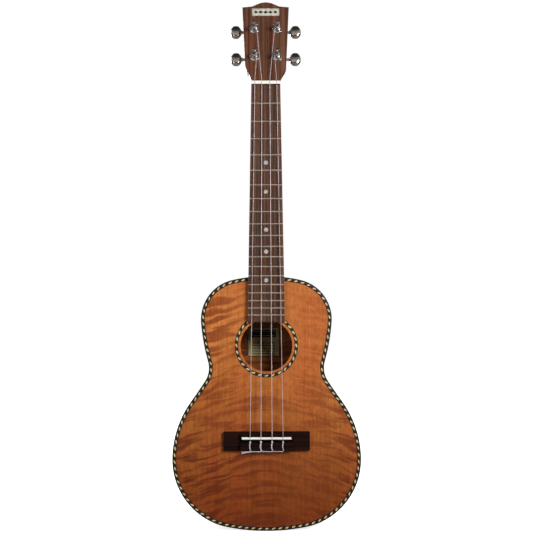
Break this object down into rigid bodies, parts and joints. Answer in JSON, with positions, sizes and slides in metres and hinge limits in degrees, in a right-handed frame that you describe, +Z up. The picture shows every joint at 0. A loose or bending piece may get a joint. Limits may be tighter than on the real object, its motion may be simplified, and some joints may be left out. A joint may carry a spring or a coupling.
{
  "type": "ukulele",
  "caption": "Tenor ukulele with a figure-of-eight body, rope binding and rosette, fretted neck, tilted head and geared tuners.",
  "frame": {"origin": "bottom centre of the whole instrument, under the tail, with the neck straight up", "axes": "+Z up the neck from the tail, +X to the treble side seen from the front, -Y out of the soundboard"},
  "size_m": [0.232, 0.085, 0.6658],
  "materials": {
    "curly_top": "gloss lacquer over curly wood",
    "curly_back": "gloss lacquer over curly wood",
    "curly_sides": "gloss lacquer over curly wood",
    "rope_marquetry": "slanting cream and black wood strips",
    "black_fibre": "polished",
    "inside_wood": "bare",
    "label_paper": "matt printed paper",
    "dark_rosewood": "oiled",
    "rosewood": "open pored, satin",
    "mahogany": "satin lacquer",
    "bone": "polished",
    "pearl": "pearly",
    "fret_wire": "polished nickel silver",
    "nylon": "clear monofilament",
    "chrome": "polished",
    "steel": "turned",
    "brass": "cut"
  },
  "bodies": {
    "instrument": {"soundboard": "curly_top", "rope_purfling": "rope_marquetry", "rosette_rope": "rope_marquetry", "black_lines": "black_fibre", "top_binding": "black_fibre", "back_binding": "black_fibre", "back_plate": "curly_back", "side_bass": "curly_sides", "side_treble": "curly_sides", "neck_block": "inside_wood", "tail_block": "inside_wood", "linings": "inside_wood", "soundboard_braces": "inside_wood", "bridge_plate": "inside_wood", "back_braces": "inside_wood", "label": "label_paper", "bridge": "dark_rosewood", "saddle": "bone", "neck": "mahogany", "heel_cap": "rosewood", "head_veneer": "rosewood", "head_plate": "pearl", "fingerboard": "rosewood", "frets": "fret_wire", "position_dots": "pearl", "nut": "bone", "tuner_housings": "chrome", "tuner_base_plates": "chrome", "tuner_screws": "chrome", "tuner_bushings": "chrome", "tuner_washers": "chrome", "string_g": "nylon", "string_c": "nylon", "string_e": "nylon", "string_a": "nylon"},
    "key_g": {"worm_shaft_g": "steel", "button_g": "chrome", "button_screw_g": "chrome"},
    "peg_g": {"post_g": "chrome", "worm_wheel_g": "brass", "winding_g": "nylon"},
    "key_c": {"worm_shaft_c": "steel", "button_c": "chrome", "button_screw_c": "chrome"},
    "peg_c": {"post_c": "chrome", "worm_wheel_c": "brass", "winding_c": "nylon"},
    "key_e": {"worm_shaft_e": "steel", "button_e": "chrome", "button_screw_e": "chrome"},
    "peg_e": {"post_e": "chrome", "worm_wheel_e": "brass", "winding_e": "nylon"},
    "key_a": {"worm_shaft_a": "steel", "button_a": "chrome", "button_screw_a": "chrome"},
    "peg_a": {"post_a": "chrome", "worm_wheel_a": "brass", "winding_a": "nylon"}
  },
  "joints": [
    {"name": "key_turn_g", "type": "hinge", "parent": "instrument", "child": "key_g", "pos_m": [-0.0142, -0.00367, 0.59137], "axis": [-1, 0, 0], "continuous": true},
    {"name": "peg_turn_g", "type": "hinge", "parent": "instrument", "child": "peg_g", "pos_m": [-0.0142, -0.02356, 0.59012], "axis": [0, -0.9703, 0.2419], "continuous": true},
    {"name": "key_turn_c", "type": "hinge", "parent": "instrument", "child": "key_c", "pos_m": [-0.0148, 0.00586, 0.62959], "axis": [-1, 0, 0], "continuous": true},
    {"name": "peg_turn_c", "type": "hinge", "parent": "instrument", "child": "peg_c", "pos_m": [-0.0148, -0.01403, 0.62835], "axis": [0, -0.9703, 0.2419], "continuous": true},
    {"name": "key_turn_e", "type": "hinge", "parent": "instrument", "child": "key_e", "pos_m": [0.0148, 0.00586, 0.62959], "axis": [1, 0, 0], "continuous": true},
    {"name": "peg_turn_e", "type": "hinge", "parent": "instrument", "child": "peg_e", "pos_m": [0.0148, -0.01403, 0.62835], "axis": [0, -0.9703, 0.2419], "continuous": true},
    {"name": "key_turn_a", "type": "hinge", "parent": "instrument", "child": "key_a", "pos_m": [0.0142, -0.00367, 0.59137], "axis": [1, 0, 0], "continuous": true},
    {"name": "peg_turn_a", "type": "hinge", "parent": "instrument", "child": "peg_a", "pos_m": [0.0142, -0.02356, 0.59012], "axis": [0, -0.9703, 0.2419], "continuous": true}
  ],
  "couplings": [
    {"joint": "peg_turn_g", "follows": "key_turn_g", "ratio": 0.071429},
    {"joint": "peg_turn_c", "follows": "key_turn_c", "ratio": 0.071429},
    {"joint": "peg_turn_e", "follows": "key_turn_e", "ratio": 0.071429},
    {"joint": "peg_turn_a", "follows": "key_turn_a", "ratio": 0.071429}
  ]
}
